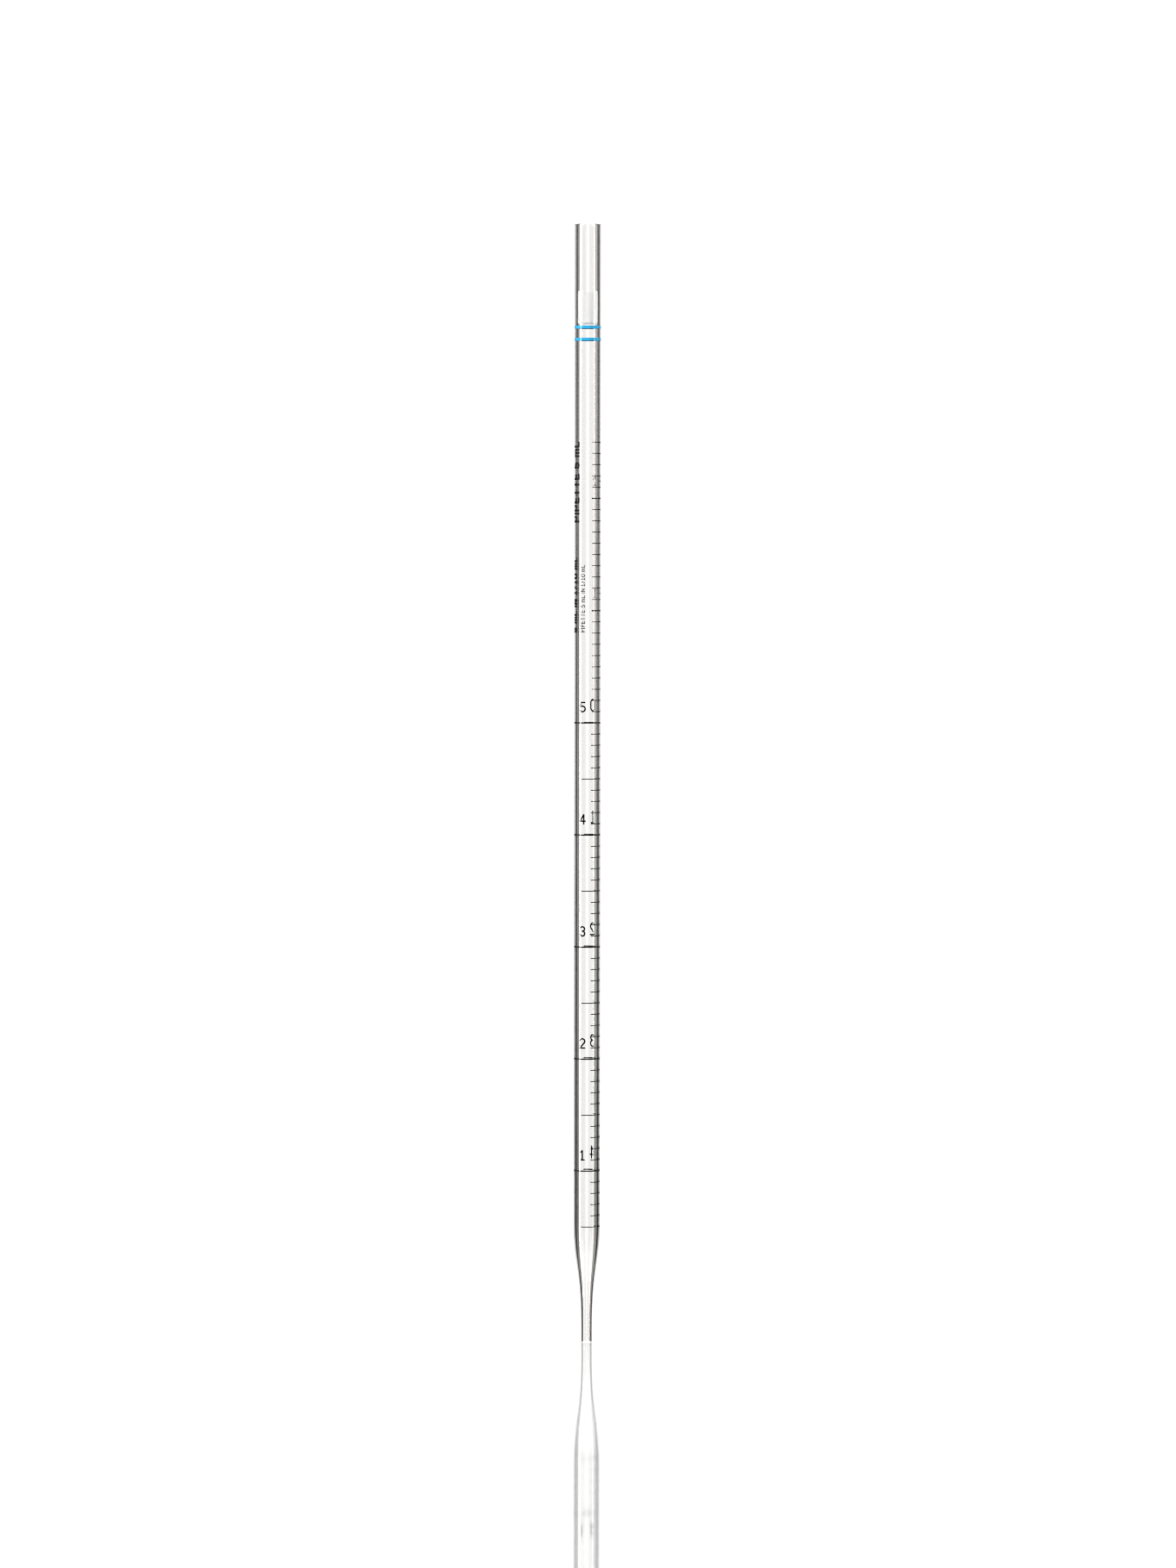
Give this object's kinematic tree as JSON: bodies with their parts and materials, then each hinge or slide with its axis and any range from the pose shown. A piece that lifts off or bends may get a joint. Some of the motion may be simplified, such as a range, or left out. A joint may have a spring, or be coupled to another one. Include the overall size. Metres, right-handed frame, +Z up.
{
  "type": "serological pipette",
  "caption": "Clear plastic serological pipette with a drawn tip, a fibre filter plug below the mouth, blue colour bands and a printed scale that reads both ways.",
  "frame": {"origin": "on the tube's axis, at the open end of the drawn tip", "axes": "+Z up the tube from the tip to the mouth, -Y towards the front, where the rising numerals are, +X to the right of the front"},
  "size_m": [0.008, 0.008, 0.342],
  "materials": {
    "clear_polystyrene": "clear gloss",
    "plug_fibre": "matt white fibre",
    "blue_ink": "satin print",
    "black_ink": "satin print"
  },
  "bodies": {
    "root": {"barrel": "clear_polystyrene", "filter_plug": "plug_fibre", "lower_colour_band": "blue_ink", "upper_colour_band": "blue_ink", "ring_mark_1": "black_ink", "half_mark_1": "black_ink", "tenth_marks_1": "black_ink", "rising_numeral_1": "black_ink", "falling_numeral_0": "black_ink", "ring_mark_2": "black_ink", "half_mark_2": "black_ink", "tenth_marks_2": "black_ink", "rising_numeral_2": "black_ink", "falling_numeral_1": "black_ink", "ring_mark_3": "black_ink", "half_mark_3": "black_ink", "tenth_marks_3": "black_ink", "rising_numeral_3": "black_ink", "falling_numeral_2": "black_ink", "ring_mark_4": "black_ink", "half_mark_4": "black_ink", "tenth_marks_4": "black_ink", "rising_numeral_4": "black_ink", "falling_numeral_3": "black_ink", "ring_mark_5": "black_ink", "half_mark_5": "black_ink", "tenth_marks_5": "black_ink", "rising_numeral_5": "black_ink", "falling_numeral_4": "black_ink", "overfill_mark_1": "black_ink", "overfill_numeral_1": "black_ink", "overfill_mark_2": "black_ink", "overfill_numeral_2": "black_ink", "overfill_tenth_marks_1": "black_ink", "overfill_tenth_marks_2": "black_ink", "overfill_tenth_marks_3": "black_ink", "title_print": "black_ink", "volume_print": "black_ink", "usage_print": "black_ink"}
  },
  "joints": []
}
